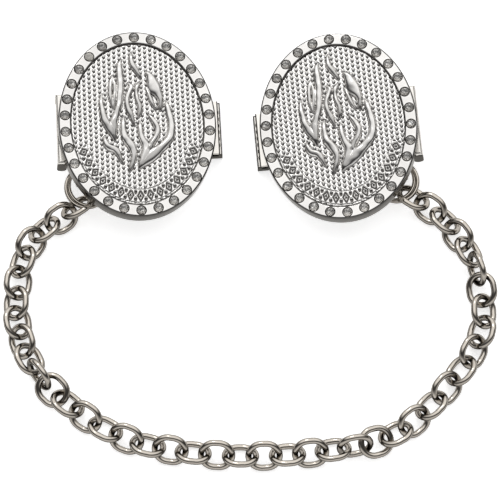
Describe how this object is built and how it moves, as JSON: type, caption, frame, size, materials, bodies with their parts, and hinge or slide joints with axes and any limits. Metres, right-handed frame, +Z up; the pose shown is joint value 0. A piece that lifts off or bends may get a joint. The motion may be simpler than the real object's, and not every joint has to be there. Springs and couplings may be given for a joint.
{
  "type": "tallit clip",
  "caption": "Two oval stone-set spring clips joined by a cable chain, for holding a prayer shawl closed; laid flat in a loop.",
  "frame": {"origin": "on the table, under the middle of the whole laid-out object", "axes": "+X from the left clip to the right clip, +Y from the chain's lowest bend to the clips, +Z up from the table, towards the stone-set faces"},
  "size_m": [0.1014, 0.0918, 0.011],
  "materials": {
    "plated_face": "bright nickel plate over cast zinc",
    "plated_sheet": "bright nickel plate over pressed steel",
    "spring_steel": "drawn spring wire, plated",
    "crystal": "faceted clear glass with a foil back",
    "plated_wire": "warm grey nickel plate over steel wire"
  },
  "bodies": {
    "clips_and_chain": {"left_plate": "plated_face", "left_stones": "crystal", "left_pin": "plated_sheet", "left_spring": "spring_steel", "left_ring": "plated_wire", "right_plate": "plated_face", "right_stones": "crystal", "right_pin": "plated_sheet", "right_spring": "spring_steel", "right_ring": "plated_wire", "link_01": "plated_wire", "link_02": "plated_wire", "link_03": "plated_wire", "link_04": "plated_wire", "link_05": "plated_wire", "link_06": "plated_wire", "link_07": "plated_wire", "link_08": "plated_wire", "link_09": "plated_wire", "link_10": "plated_wire", "link_11": "plated_wire", "link_12": "plated_wire", "link_13": "plated_wire", "link_14": "plated_wire", "link_15": "plated_wire", "link_16": "plated_wire", "link_17": "plated_wire", "link_18": "plated_wire", "link_19": "plated_wire", "link_20": "plated_wire", "link_21": "plated_wire", "link_22": "plated_wire", "link_23": "plated_wire", "link_24": "plated_wire", "link_25": "plated_wire", "link_26": "plated_wire", "link_27": "plated_wire", "link_28": "plated_wire", "link_29": "plated_wire", "link_30": "plated_wire", "link_31": "plated_wire", "link_32": "plated_wire", "link_33": "plated_wire", "link_34": "plated_wire", "link_35": "plated_wire", "link_36": "plated_wire", "link_37": "plated_wire", "link_38": "plated_wire", "link_39": "plated_wire", "link_40": "plated_wire", "link_41": "plated_wire", "link_42": "plated_wire"},
    "left_jaw": {"left_lever": "plated_sheet", "left_spring_arm": "spring_steel"},
    "right_jaw": {"right_lever": "plated_sheet", "right_spring_arm": "spring_steel"}
  },
  "joints": [
    {"name": "left_jaw_hinge", "type": "hinge", "parent": "clips_and_chain", "child": "left_jaw", "pos_m": [-0.02825, 0.02537, 0.0036], "axis": [-0.0558, 0.9984, 0], "range_deg": [0, 22], "stiffness_Nm_per_rad": 0.18, "springref_deg": -25.78},
    {"name": "right_jaw_hinge", "type": "hinge", "parent": "clips_and_chain", "child": "right_jaw", "pos_m": [0.02322, 0.0257, 0.0036], "axis": [0.0906, -0.9959, 0], "range_deg": [0, 22], "stiffness_Nm_per_rad": 0.18, "springref_deg": -25.78}
  ]
}
